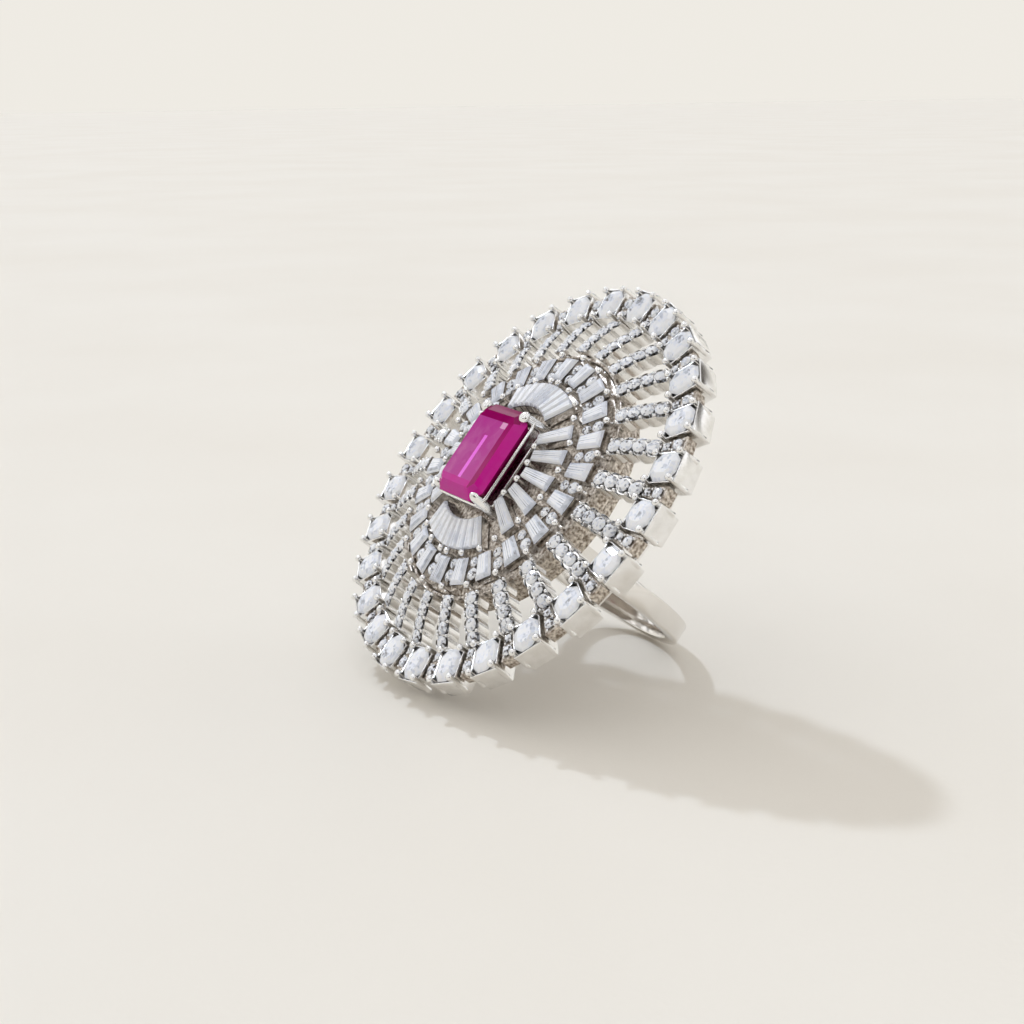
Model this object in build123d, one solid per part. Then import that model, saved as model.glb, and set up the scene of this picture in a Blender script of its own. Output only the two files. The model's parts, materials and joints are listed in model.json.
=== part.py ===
from build123d import *
from math import atan2, cos, degrees, radians, sin, sqrt, tan
import os

# Cocktail ring, in millimetres.
# It is drawn in the ring's own frame: X along the finger, Z out of the face, origin at the centre
# of the rim stones' circle. The last step lays it down at rest on its rim and its band.

# --- band ---
bore_radius = 8.65
band_radius = 9.85
band_width = 2.0
band_offset = -3.0
band_height = -12.3

# --- rim: a circle of claw settings ---
rim_count = 26
rim_radius = 18.5
rim_turn = 2.53
rim_stone = (3.0, 2.6, 0.75)
rim_box_inner = 16.9
rim_box_outer = 20.4
rim_box_width = 3.3
rim_box_bottom = -2.3
rim_claw_radius = 0.24
rim_claw_top = 0.66
rail_radii = (17.4, 18.2)
rail_height = 0.35
gap_stones_at = ((17.55, 0.74), (18.75, 1.0))
gap_top = -0.32
gap_depth = 1.1

# --- spokes: one to each gap of the rim ---
spoke_inner = 12.5
spoke_outer = 16.85
spoke_top = (1.35, -0.3)
spoke_bulge = 0.2
spoke_depth = 1.25
spoke_web = 1.3
spoke_stones = 4
spoke_stone_diameter = 1.14
spoke_scallop = 1.75

# --- second tier ---
second_count = 22
second_turn = -5.1
second_radii = (9.15, 11.6)
second_girdle = (1.85, 1.5)
second_widths = (1.35, 1.75)
second_rounds_at = ((9.62, 0.9), (10.72, 1.1))
second_plate = (8.95, 12.1)
second_claw_radius = 11.85
collar_radii = (12.15, 12.45)
collar_heights = (-1.0, 0.7)

# --- first tier ---
first_radii = (5.75, 8.5)
first_girdle = (2.75, 2.05)
fan_count = 9
fan_pitch = 7.4
fan_gap = 0.05
side_radii = (5.05, 8.45)
side_widths = (1.0, 1.45)
side_angles = (54, 72, 90, 108, 126)
first_plate_radius = 8.9
first_flat = 6.0
keel_slot = (5.0, 2.8)

# --- what every tier shares ---
seat_drop = 0.95
plate_thickness = 0.6
girdle = 0.1
baguette_crown = 0.32
baguette_keel = 0.8
claw_radius = 0.27
claw_rise = 0.45
solder_gap = 0.02

# --- ruby and its basket ---
ruby_height = 4.3
ruby_half = (4.5, 3.8)
ruby_corner = 1.1
basket_post_radius = 0.42
basket_post_at = (4.27, 3.58)
basket_rails = ((4.62, 3.92, 0.3, 3.9), (4.45, 3.75, 0.4, 2.75))
basket_rail_corner = 0.85
basket_rail_height = 0.3

# --- gallery behind the face ---
gallery_ring = (7.0, 8.2)
gallery_outer_ring = (11.3, 12.3)
gallery_heights = (-2.0, -1.0)
gallery_arm_count = 8
gallery_arm_width = 1.0
gallery_post_count = 6
gallery_post_radius = 0.45

rim_pitch = 360 / rim_count
second_pitch = 360 / second_count


def around(shape, radius, angle, height=0.0, slope=0.0):
    """Places a shape drawn at the origin, X outward, on the face at a polar place."""
    return Rot(0, 0, angle) * Pos(radius, 0, height) * Rot(0, slope, 0) * shape


def polygon_solid(levels):
    """A closed solid through equal-sided polygons, each (points, height), lowest first."""
    rings = [[Vector(x, y, z) for x, y in points] for points, z in levels]
    faces = [Face(Wire.make_polygon(rings[0])), Face(Wire.make_polygon(rings[-1]))]
    for low, high in zip(rings, rings[1:]):
        for i in range(len(low)):
            j = (i + 1) % len(low)
            faces.append(Face(Wire.make_polygon([low[i], low[j], high[j], high[i]])))
    return Solid(Shell(faces))


def cut_corner(half_x, half_y, cut):
    """The outline of a rectangle with its corners cut at 45 degrees."""
    return [
        (half_x, -half_y + cut),
        (half_x, half_y - cut),
        (half_x - cut, half_y),
        (-half_x + cut, half_y),
        (-half_x, half_y - cut),
        (-half_x, -half_y + cut),
        (-half_x + cut, -half_y),
        (half_x - cut, -half_y),
    ]


def ruby_stone():
    """Step-cut octagon, wide table and two pavilion steps down to a short keel."""
    half_x, half_y = ruby_half
    return polygon_solid([
        (cut_corner(half_x - 2.9, half_y - 3.6, 0.08), -3.15),
        (cut_corner(half_x - 1.2, half_y - 1.2, ruby_corner * 0.7), -1.6),
        (cut_corner(half_x, half_y, ruby_corner), -0.12),
        (cut_corner(half_x, half_y, ruby_corner), 0),
        (cut_corner(half_x - 0.5, half_y - 0.42, ruby_corner * 0.85), 0.42),
        (cut_corner(half_x - 1.0, half_y - 0.84, ruby_corner * 0.7), 0.68),
    ])


def rim_stone_solid():
    """Cushion-like step cut, longer along the radius, with a small culet."""
    half_x, half_y, corner = rim_stone[0] / 2, rim_stone[1] / 2, rim_stone[2]
    return polygon_solid([
        (cut_corner(0.28, 0.14, 0.06), -1.25),
        (cut_corner(half_x * 0.62, half_y * 0.58, corner * 0.55), -0.72),
        (cut_corner(half_x, half_y, corner), -girdle),
        (cut_corner(half_x, half_y, corner), 0),
        (cut_corner(half_x * 0.62, half_y * 0.6, corner * 0.6), 0.36),
    ])


def baguette(length, inner_width, outer_width):
    """Tapered step cut, X outward, girdle top at height 0."""
    flare = (outer_width - inner_width) / 2 / length
    middle = (inner_width + outer_width) / 4

    def trapezoid(inset):
        x = length / 2 - inset
        half = middle - inset * sqrt(1 + flare**2)
        inner, outer = half - flare * x, half + flare * x
        return [(x, -outer), (x, outer), (-x, inner), (-x, -inner)]

    keel_inset = inner_width / 2 - 0.12
    table_inset = inner_width * 0.2
    return polygon_solid([
        (trapezoid(keel_inset), -baguette_keel),
        (trapezoid(0), -girdle),
        (trapezoid(0), 0),
        (trapezoid(table_inset), baguette_crown),
    ])


def round_stone(diameter):
    """Round stone as a turned solid, girdle top at height 0."""
    r = diameter / 2
    profile = Polyline(
        (0, -0.43 * diameter), (r, -0.05 * diameter), (r, 0), (0.56 * r, 0.16 * diameter),
        (0, 0.16 * diameter), close=True,
    )
    return revolve(Plane.XZ * make_face(profile), Axis.Z)


def ring_solid(radii, low, high):
    """A flat washer between two radii and two heights."""
    inner, outer = radii
    washer = Circle(outer) - Circle(inner)
    return Pos(0, 0, low) * extrude(washer, high - low)


def claw(height, radius=claw_radius):
    """A round claw from height 0, with a domed head."""
    stem = Pos(0, 0, height / 2) * Cylinder(radius, height)
    return stem + Pos(0, 0, height) * Sphere(radius)


def tier_slope(radii, heights):
    return degrees(atan2(heights[0] - heights[1], radii[1] - radii[0]))


def tier_height(radius, radii, heights):
    share = (radius - radii[0]) / (radii[1] - radii[0])
    return heights[0] + (heights[1] - heights[0]) * share


def tier_plate(points):
    """A sloping plate turned from its top edge, (radius, height) points from the inside out."""
    under = [(r, z - plate_thickness) for r, z in reversed(points)]
    return revolve(Plane.XZ * make_face(Polyline(*points, *under, close=True)), Axis.Z)


def first_seat(radius):
    return tier_height(max(radius, first_flat), first_radii, first_girdle) - seat_drop


def second_angle(place):
    """The angle of a seam of the second tier; half places are the middles of its baguettes."""
    return place * second_pitch + second_turn


def gap_angle(place):
    """The angle of a gap of the rim; half places are the middles of its settings."""
    return place * rim_pitch + rim_turn


def second_seat(radius):
    return tier_height(radius, second_radii, second_girdle) - seat_drop


def first_claw_places():
    """(radius, angle) of the first tier's claws: outside both fans, and at both ends of the sides."""
    fan_seams = [side * (2 * k + 0.5) * fan_pitch for k in range(3) for side in (-1, 1)]
    places = [(8.8, end + a) for end in (0, 180) for a in fan_seams]
    half_pitch = (side_angles[1] - side_angles[0]) / 2
    for side in (1, -1):
        for a in side_angles[:-1]:
            places.append((5.15, side * (a + half_pitch)))
            places.append((8.55, side * (a + half_pitch)))
        places.append((8.55, side * (side_angles[0] - half_pitch)))
        places.append((8.55, side * (side_angles[-1] + half_pitch)))
    return places


def rim_setting():
    """One rim setting: four walls with a ledge for the stone, open below, and four claws."""
    middle = (rim_box_inner + rim_box_outer) / 2 - rim_radius
    length = rim_box_outer - rim_box_inner
    height = -rim_box_bottom
    body = Pos(middle, 0, rim_box_bottom / 2) * Box(length, rim_box_width, height)
    pocket = polygon_solid([
        (cut_corner(rim_stone[0] / 2 + solder_gap, rim_stone[1] / 2 + solder_gap, rim_stone[2]), -0.5),
        (cut_corner(rim_stone[0] / 2 + solder_gap, rim_stone[1] / 2 + solder_gap, rim_stone[2]), 0.5),
    ])
    through = Pos(0, 0, rim_box_bottom / 2) * Box(rim_stone[0] - 0.75, rim_stone[1] - 0.75, 2 * height)
    body = body - pocket - through
    for x in (-1, 1):
        for y in (-1, 1):
            place = Pos(x * (rim_stone[0] / 2 - 0.04), y * (rim_box_width / 2 - rim_claw_radius), -0.3)
            body = body + place * claw(rim_claw_top + 0.3 - rim_claw_radius, rim_claw_radius)
    return body


def gap_plate():
    """The wedge between two rim settings, drilled for its two round stones."""
    half_angle = radians(rim_pitch / 2)

    def edge(u):
        x = u * cos(half_angle) + rim_box_width / 2 * sin(half_angle)
        y = u * sin(half_angle) - rim_box_width / 2 * cos(half_angle) - solder_gap
        return x, y

    x0, y0 = edge(rim_box_inner)
    x1, y1 = edge(rim_box_outer - 0.9)
    wedge = extrude(make_face(Polyline((x0, -y0), (x1, -y1), (x1, y1), (x0, y0), close=True)), gap_depth)
    plate = Pos(0, 0, gap_top - gap_depth) * wedge
    for radius, diameter in gap_stones_at:
        plate = plate - Pos(radius, 0, gap_top) * Cylinder(0.36 * diameter, 3 * gap_depth)
    return plate


def spoke_curve():
    """Start, middle and end of a spoke's top edge, as (radius, height)."""
    middle = ((spoke_inner + spoke_outer) / 2, sum(spoke_top) / 2 + spoke_bulge)
    return (spoke_inner, spoke_top[0]), middle, (spoke_outer, spoke_top[1])


def spoke_stone_places():
    """(radius, height, slope in degrees) of the stones along a spoke's arched top."""
    arc = ThreePointArc(*spoke_curve())
    places = []
    for k in range(spoke_stones):
        share = (k + 0.5) / spoke_stones
        point = arc.position_at(share)
        along = arc.tangent_at(share)
        places.append((point.X, point.Y, -degrees(atan2(along.Y, along.X))))
    return places


def spoke():
    """An arched bar, scalloped round each stone in plan and drilled under it."""
    start, middle, end = spoke_curve()

    def lower(p):
        return (p[0], p[1] - spoke_depth)

    side = make_face([
        ThreePointArc(start, middle, end),
        Line(end, lower(end)),
        ThreePointArc(lower(end), lower(middle), lower(start)),
        Line(lower(start), start),
    ])
    bar = extrude(Plane.XZ * side, spoke_scallop / 2, both=True)
    length = spoke_outer - spoke_inner
    plan = Pos((spoke_inner + spoke_outer) / 2, 0, 0) * Box(length, spoke_web, 4)
    for radius, _, _ in spoke_stone_places():
        plan = plan + Pos(radius, 0, 0) * Cylinder(spoke_scallop / 2, 4)
    bar = bar & plan
    for radius, height, slope in spoke_stone_places():
        bar = bar - around(Cylinder(0.4 * spoke_stone_diameter, 1.4), radius, 0, height, slope)
    return bar


def basket_frame(half_x, half_y, wall, height):
    """A rectangular wire with cut corners, round the ruby."""
    outer = cut_corner(half_x, half_y, basket_rail_corner)
    inner = cut_corner(half_x - wall, half_y - wall, basket_rail_corner)
    frame = extrude(make_face(Polyline(*outer, close=True)), basket_rail_height)
    hole = extrude(make_face(Polyline(*inner, close=True)), basket_rail_height)
    return Pos(0, 0, height - basket_rail_height) * (frame - hole)


def ruby_basket():
    """Two wires and four corner posts whose heads close over the ruby's cut corners."""
    foot = first_seat(0)
    basket = None
    for rail in basket_rails:
        frame = basket_frame(*rail)
        basket = frame if basket is None else basket + frame
    for x in (-1, 1):
        for y in (-1, 1):
            post = claw(ruby_height + 0.3 - foot, basket_post_radius)
            basket = basket + Pos(x * basket_post_at[0], y * basket_post_at[1], foot) * post
    return basket


def first_tier_plate():
    """The middle plate, with a slot for the ruby's keel, and the claws that stand on it."""
    edge = [(0, first_seat(0)), (first_flat, first_seat(0))]
    edge.append((first_plate_radius, first_seat(first_plate_radius)))
    plate = tier_plate(edge) - Pos(0, 0, first_seat(0)) * Box(*keel_slot, 2)
    for radius, angle in first_claw_places():
        low = first_seat(radius) - 0.2
        high = tier_height(radius, first_radii, first_girdle) + claw_rise - claw_radius
        plate = plate + around(claw(high - low), radius, angle, low)
    return plate


def second_tier_plate():
    plate = tier_plate([(r, second_seat(r)) for r in second_plate])
    for k in range(second_count):
        low = second_seat(second_plate[1]) - 0.2
        high = second_girdle[1] + claw_rise - claw_radius
        plate = plate + around(claw(high - low), second_claw_radius, second_angle(k), low)
    return plate


def rounds_on(places, angles, height_at, slope):
    """Round stones at each (radius, diameter) along every one of the angles."""
    stones = []
    for angle in angles:
        for radius, diameter in places:
            stones.append(around(round_stone(diameter), radius, angle, height_at(radius), slope))
    return stones


def shoulder(side):
    """A web that fills the corner between the band and the gallery."""
    def on_band(y):
        return (side * y, sqrt(band_radius**2 - y**2) + band_height)

    near, far = 3.0, 8.0
    top = gallery_heights[0]
    outline = make_face([
        ThreePointArc(on_band(near), on_band((near + far) / 2), on_band(far)),
        Line(on_band(far), (side * far, top)),
        Line((side * far, top), (side * near, top)),
        Line((side * near, top), on_band(near)),
    ])
    web = extrude(Plane.YZ * outline, band_width / 2, both=True)
    return Pos(band_offset, 0, 0) * web


def band():
    """The plain band: a full circle round the finger."""
    tube = Cylinder(band_radius, band_width) - Cylinder(bore_radius, 2 * band_width)
    return Pos(band_offset, 0, band_height) * Rot(0, 90, 0) * tube


def build():
    """Every node by name, in the ring's own frame."""
    nodes = {"shank": [band()]}
    nodes["shoulder_near"] = [shoulder(-1)]
    nodes["shoulder_far"] = [shoulder(1)]

    low, high = gallery_heights
    nodes["gallery_ring"] = [ring_solid(gallery_ring, low, high)]
    nodes["gallery_outer_ring"] = [ring_solid(gallery_outer_ring, low, high)]
    reach = gallery_outer_ring[0] - gallery_ring[1]
    arm = Box(reach - 0.12, gallery_arm_width, high - low)
    arm_radius = (gallery_outer_ring[0] + gallery_ring[1]) / 2
    nodes["gallery_arms"] = [
        around(arm, arm_radius, (k + 0.5) * 360 / gallery_arm_count, (low + high) / 2)
        for k in range(gallery_arm_count)
    ]
    plate = first_tier_plate()
    post_radius = sum(gallery_ring) / 2
    post = Pos(0, 0, 1) * Cylinder(gallery_post_radius, 2)
    nodes["gallery_posts"] = [
        around(post, post_radius, (k + 0.5) * 360 / gallery_post_count, high) - plate
        for k in range(gallery_post_count)
    ]

    nodes["first_tier_plate"] = [plate]
    nodes["second_tier_plate"] = [second_tier_plate()]
    nodes["collar_ring"] = [ring_solid(collar_radii, *collar_heights)]
    nodes["ruby_basket"] = [ruby_basket()]
    nodes["ruby"] = [Pos(0, 0, ruby_height) * ruby_stone()]

    slope = tier_slope(first_radii, first_girdle)
    radius = sum(first_radii) / 2
    pitch_width = 2 * tan(radians(fan_pitch / 2))
    fan_stone = baguette(
        first_radii[1] - first_radii[0],
        first_radii[0] * pitch_width - fan_gap,
        first_radii[1] * pitch_width - fan_gap,
    )
    fan_angles = [(k - (fan_count - 1) / 2) * fan_pitch for k in range(fan_count)]
    height = tier_height(radius, first_radii, first_girdle)
    for name, start in (("fan_baguettes_upper", 0), ("fan_baguettes_lower", 180)):
        nodes[name] = [around(fan_stone, radius, start + a, height, slope) for a in fan_angles]
    radius = sum(side_radii) / 2
    height = tier_height(radius, first_radii, first_girdle)
    side_stone = baguette(side_radii[1] - side_radii[0], *side_widths)
    for name, side in (("side_baguettes_near", -1), ("side_baguettes_far", 1)):
        nodes[name] = [around(side_stone, radius, side * a, height, slope) for a in side_angles]

    slope = tier_slope(second_radii, second_girdle)
    radius = sum(second_radii) / 2
    height = tier_height(radius, second_radii, second_girdle)
    stone = baguette(second_radii[1] - second_radii[0], *second_widths)
    nodes["second_tier_baguettes"] = [
        around(stone, radius, second_angle(k + 0.5), height, slope) for k in range(second_count)
    ]
    nodes["second_tier_rounds"] = rounds_on(
        second_rounds_at, [second_angle(k) for k in range(second_count)],
        lambda r: tier_height(r, second_radii, second_girdle) - 0.1, slope,
    )

    gaps = [gap_angle(k) for k in range(rim_count)]
    one_spoke = spoke()
    nodes["spokes"] = [Rot(0, 0, a) * one_spoke for a in gaps]
    stone = Pos(0, 0, 0.16) * round_stone(spoke_stone_diameter)
    nodes["spoke_stones"] = [
        around(stone, r, a, z, tilt)
        for a in gaps
        for r, z, tilt in spoke_stone_places()
    ]

    one_setting = rim_setting()
    one_stone = rim_stone_solid()
    angles = [gap_angle(k + 0.5) for k in range(rim_count)]
    nodes["rim_settings"] = [around(one_setting, rim_radius, a) for a in angles]
    for k, a in enumerate(angles):
        nodes[f"rim_stone_{k + 1:02d}"] = [around(one_stone, rim_radius, a)]
    one_plate = gap_plate()
    nodes["gap_plates"] = [Rot(0, 0, a) * one_plate for a in gaps]
    nodes["gap_stones"] = rounds_on(gap_stones_at, gaps, lambda r: gap_top + 0.2, 0)
    nodes["rim_rail"] = [ring_solid(rail_radii, rim_box_bottom - rail_height, rim_box_bottom)]
    return nodes


def setting_reach(angle):
    """How far the setting at an angle reaches towards -X, at its furthest corner."""
    turn = radians(angle - 180)
    return rim_box_outer * cos(turn) + rim_box_width / 2 * abs(sin(turn))


def resting_place(nodes):
    """Leans the ring onto its rim and band, then puts the middle of its footprint at the origin."""
    rim_reach = max(setting_reach(gap_angle(k + 0.5)) for k in range(rim_count))
    run = band_offset - band_width / 2 + rim_reach
    rise = rim_box_bottom - (band_height - band_radius)
    lean = degrees(atan2(rise, run))
    tilt = Rot(0, -lean, 0)
    box = Compound([tilt * s for solids in nodes.values() for s in solids]).bounding_box()
    middle = Pos(-(box.min.X + box.max.X) / 2, -(box.min.Y + box.max.Y) / 2, -box.min.Z)
    bore = middle * tilt * Pos(band_offset, 0, band_height)
    axis = (tilt * Pos(1, 0, 0)).position
    print("lean", round(lean, 3), "bore centre", bore.position, "bore axis", axis)
    print("size", box.size, "face centre", (middle * tilt).position)
    return middle * tilt


def main():
    nodes = build()
    place = resting_place(nodes)
    os.makedirs("parts", exist_ok=True)
    for name, solids in nodes.items():
        shape = solids[0] if len(solids) == 1 else Compound(solids)
        export_step(place * shape, f"parts/{name}.step")


main()
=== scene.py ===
import json
from math import asin, atan, atan2, cos, degrees, radians, sin, sqrt, tan

import bmesh
import bpy
from mathutils import Matrix, Vector


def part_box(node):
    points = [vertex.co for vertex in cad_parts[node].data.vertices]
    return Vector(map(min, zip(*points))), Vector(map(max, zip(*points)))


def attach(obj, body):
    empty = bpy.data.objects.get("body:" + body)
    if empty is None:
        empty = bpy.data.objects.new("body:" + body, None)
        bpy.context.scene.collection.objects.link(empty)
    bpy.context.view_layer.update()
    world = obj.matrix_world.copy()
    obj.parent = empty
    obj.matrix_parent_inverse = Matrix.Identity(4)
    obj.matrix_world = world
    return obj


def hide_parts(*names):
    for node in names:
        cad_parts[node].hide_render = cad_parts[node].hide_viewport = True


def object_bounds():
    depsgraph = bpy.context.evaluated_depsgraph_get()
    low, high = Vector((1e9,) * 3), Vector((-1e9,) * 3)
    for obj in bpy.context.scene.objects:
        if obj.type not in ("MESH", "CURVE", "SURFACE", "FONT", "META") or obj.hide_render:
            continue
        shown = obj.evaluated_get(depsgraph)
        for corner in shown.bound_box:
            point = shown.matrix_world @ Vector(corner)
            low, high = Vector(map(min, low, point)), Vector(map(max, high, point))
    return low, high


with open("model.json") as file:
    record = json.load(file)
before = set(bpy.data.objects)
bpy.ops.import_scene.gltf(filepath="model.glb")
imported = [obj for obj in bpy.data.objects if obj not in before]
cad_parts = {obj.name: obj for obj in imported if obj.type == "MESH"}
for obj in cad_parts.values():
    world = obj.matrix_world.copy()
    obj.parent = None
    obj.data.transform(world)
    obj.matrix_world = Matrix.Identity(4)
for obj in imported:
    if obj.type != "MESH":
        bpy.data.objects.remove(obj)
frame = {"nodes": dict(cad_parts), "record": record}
cadLow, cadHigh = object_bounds()

# Pieces are modelled in millimetres with the face lying flat: X along the finger, Z out of the
# face, origin at the centre of the rim stones' circle. layDown() brings them to their place.
bore = frame["record"]["mounts"][0]
boreRadius = bore["dims"]["r_mm"]
lean = atan2(bore["axis"][2], bore["axis"][0])
bandPlace = {"along": -3.0, "height": -12.3}
fingerAxis = Vector((cos(lean), 0, sin(lean)))
faceNormal = Vector((-sin(lean), 0, cos(lean)))
boreCentre = Vector(bore["pos_m"])
faceCentre = boreCentre - 0.001 * (bandPlace["along"] * fingerAxis + bandPlace["height"] * faceNormal)
restingPlace = Matrix.Translation(faceCentre) @ Matrix.Rotation(-lean, 4, "Y") @ Matrix.Scale(0.001, 4)
rimCount = len([name for name in frame["nodes"] if name.startswith("rim_stone_")])


def middleOf(node):
    low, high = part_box(node)
    return restingPlace.inverted() @ ((low + high) / 2)


# opposite stones of the rim give its turn: gaps lie half a pitch to the side of them
acrossRim = middleOf("rim_stone_01") - middleOf(f"rim_stone_{rimCount // 2 + 1:02d}")
rimPitch = 360 / rimCount
rimTurn = degrees(atan2(acrossRim.y, acrossRim.x)) - rimPitch / 2
gapAngles = [k * rimPitch + rimTurn for k in range(rimCount)]
print("lean", round(degrees(lean), 2), "rim stones", rimCount, "rim turn", round(rimTurn, 2))


def toObjectMode():
    if bpy.context.object and bpy.context.object.mode != "OBJECT":
        bpy.ops.object.mode_set(mode="OBJECT")
    bpy.ops.object.select_all(action="DESELECT")


def startPiece(name, add, **settings):
    toObjectMode()
    add(**settings)
    piece = bpy.context.object
    piece.name = name
    piece.data.name = name
    return piece


def selectOnly(piece):
    toObjectMode()
    piece.select_set(True)
    bpy.context.view_layer.objects.active = piece


def applyPlace(piece):
    selectOnly(piece)
    bpy.ops.object.transform_apply(location=True, rotation=True, scale=True)


def editPiece(piece):
    selectOnly(piece)
    bpy.ops.object.mode_set(mode="EDIT")


def pickFaces(piece, test):
    bpy.ops.mesh.select_mode(type="FACE")
    bpy.ops.mesh.select_all(action="DESELECT")
    shape = bmesh.from_edit_mesh(piece.data)
    for face in shape.faces:
        face.select_set(test(face.calc_center_median(), face.normal))
    bmesh.update_edit_mesh(piece.data)


def pickVertices(piece, test):
    bpy.ops.mesh.select_mode(type="VERT")
    bpy.ops.mesh.select_all(action="DESELECT")
    shape = bmesh.from_edit_mesh(piece.data)
    for vertex in shape.verts:
        vertex.select_set(test(vertex.co))
    shape.select_flush(True)
    bmesh.update_edit_mesh(piece.data)


def applyModifier(piece, kind, **settings):
    selectOnly(piece)
    modifier = piece.modifiers.new(kind.title(), kind)
    for setting, value in settings.items():
        setattr(modifier, setting, value)
    bpy.ops.object.modifier_apply(modifier=modifier.name)


def softenEdges(piece, width, segments=2, sharpest=32):
    applyModifier(piece, "BEVEL", width=width, segments=segments, limit_method="ANGLE",
                  angle_limit=radians(sharpest))


def smoothShade(piece, angle=35):
    selectOnly(piece)
    bpy.ops.object.shade_smooth_by_angle(angle=radians(angle))


def copyTo(piece, place, name="copy"):
    twin = piece.copy()
    twin.data = piece.data.copy()
    twin.name = name
    twin.matrix_world = place @ piece.matrix_world
    bpy.context.collection.objects.link(twin)
    return twin


def joinPieces(name, parts):
    toObjectMode()
    for part in parts:
        part.select_set(True)
    bpy.context.view_layer.objects.active = parts[0]
    if len(parts) > 1:
        bpy.ops.object.join()
    piece = bpy.context.object
    piece.name = name
    piece.data.name = name
    return piece


def polar(radius, angle, height=0.0, slope=0.0):
    turn = Matrix.Rotation(radians(angle), 4, "Z")
    return turn @ Matrix.Translation((radius, 0, height)) @ Matrix.Rotation(radians(slope), 4, "Y")


def repeatPiece(name, pattern, places):
    copies = [copyTo(pattern, place) for place in places]
    bpy.data.objects.remove(pattern)
    return joinPieces(name, copies)


def layDown(piece, material, slot, *nodes):
    applyPlace(piece)
    piece.matrix_world = restingPlace
    applyPlace(piece)
    piece.data.materials.clear()
    piece.data.materials.append(material)
    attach(piece, "root")
    if nodes:
        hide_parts(*nodes)
    return piece


cameraPlace = {"azimuth": 29.58, "elevation": 14.31, "roll": -0.52, "distance": 0.14557, "lens": 58.55,
               "sensor": 36, "nearest": 0.005, "aim": (-0.00195, -0.00043, -0.0022)}


def makeCamera(place):
    aim = (cadLow + cadHigh) / 2 + Vector(place["aim"])
    turn = (Matrix.Rotation(-radians(place["azimuth"]), 4, "Z")
            @ Matrix.Rotation(radians(90 - place["elevation"]), 4, "X")
            @ Matrix.Rotation(radians(place["roll"]), 4, "Z"))
    back = turn @ Vector((0, 0, 1))
    bpy.ops.object.camera_add(location=aim + back * place["distance"], rotation=turn.to_euler())
    camera = bpy.context.object
    camera.data.lens = place["lens"]
    camera.data.sensor_width = place["sensor"]
    camera.data.clip_start = place["nearest"]
    bpy.context.scene.camera = camera


lightValues = {"sunElevation": 44, "sunAzimuth": 0, "sunStrength": 0.85, "sunWidth": 3.0,
               "sunHeight": 0.3, "sunColour": (0.87, 0.98, 1.15)}


def makeSun(values):
    tilt = Matrix.Rotation(radians(90 - values["sunElevation"]), 4, "X")
    turn = Matrix.Rotation(radians(180 - values["sunAzimuth"]), 4, "Z") @ tilt
    bpy.ops.object.light_add(type="SUN", location=(0, 0, values["sunHeight"]), rotation=turn.to_euler())
    sun = bpy.context.object.data
    sun.energy = values["sunStrength"]
    sun.angle = radians(values["sunWidth"])
    sun.color = values["sunColour"]


# a span is the (start, end) of a blend; the onlooker's is measured on a sphere of radius 1
studioValues = {"horizon": (0.73, 0.705, 0.655), "horizonSpan": (0.12, 0.3), "strength": 1.18,
                "light": (1.11, 1.1, 1.1), "dark": (0.07, 0.06, 0.05), "toneSpan": (0.12, 0.42),
                "bandScale": 1.35, "bandBend": 2.2, "bandDetail": 1.0,
                "onlookerSpan": (0.32, 0.4), "onlookerAzimuth": 29.58, "onlookerElevation": 14.31}


def makeStudio(values):
    world = bpy.data.worlds.new("studio")
    world.use_nodes = True
    bpy.context.scene.world = world
    nodes, links = world.node_tree.nodes, world.node_tree.links
    background = nodes["Background"]
    background.inputs["Strength"].default_value = values["strength"]
    place = nodes.new("ShaderNodeTexCoord")
    bands = nodes.new("ShaderNodeTexWave")
    bands.inputs["Scale"].default_value = values["bandScale"]
    bands.inputs["Distortion"].default_value = values["bandBend"]
    bands.inputs["Detail"].default_value = values["bandDetail"]
    links.new(place.outputs["Generated"], bands.inputs["Vector"])
    tone = rampOn(nodes, links, bands.outputs["Fac"], values["dark"], values["light"], *values["toneSpan"])
    split = nodes.new("ShaderNodeSeparateXYZ")
    links.new(place.outputs["Generated"], split.inputs["Vector"])
    rise = spanOn(nodes, links, split.outputs["Z"], 0, 1, *values["horizonSpan"])
    room = mixOn(nodes, links, rise, values["horizon"], tone.outputs["Color"])
    # the dark shape of someone who stands before the ring, small in every polished bead
    azimuth, elevation = radians(values["onlookerAzimuth"]), radians(values["onlookerElevation"])
    onlooker = nodes.new("ShaderNodeVectorMath")
    onlooker.operation = "DISTANCE"
    links.new(place.outputs["Generated"], onlooker.inputs[0])
    onlooker.inputs[1].default_value = (-sin(azimuth) * cos(elevation), -cos(azimuth) * cos(elevation),
                                        sin(elevation))
    edge = spanOn(nodes, links, onlooker.outputs["Value"], 0, 1, *values["onlookerSpan"])
    links.new(mixOn(nodes, links, edge, values["dark"], room), background.inputs["Color"])


# patterns are (scale, detail)
floorValues = {"size": 8.0, "parts": 4, "roughness": 0.85, "shine": 0.2,
               "colourA": (0.83, 0.795, 0.725), "colourB": (0.81, 0.77, 0.695), "mottle": (14.0, 3.0),
               "grain": (1800.0, 4.0), "grainDepth": 0.00003, "grainStrength": 0.6}


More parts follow.
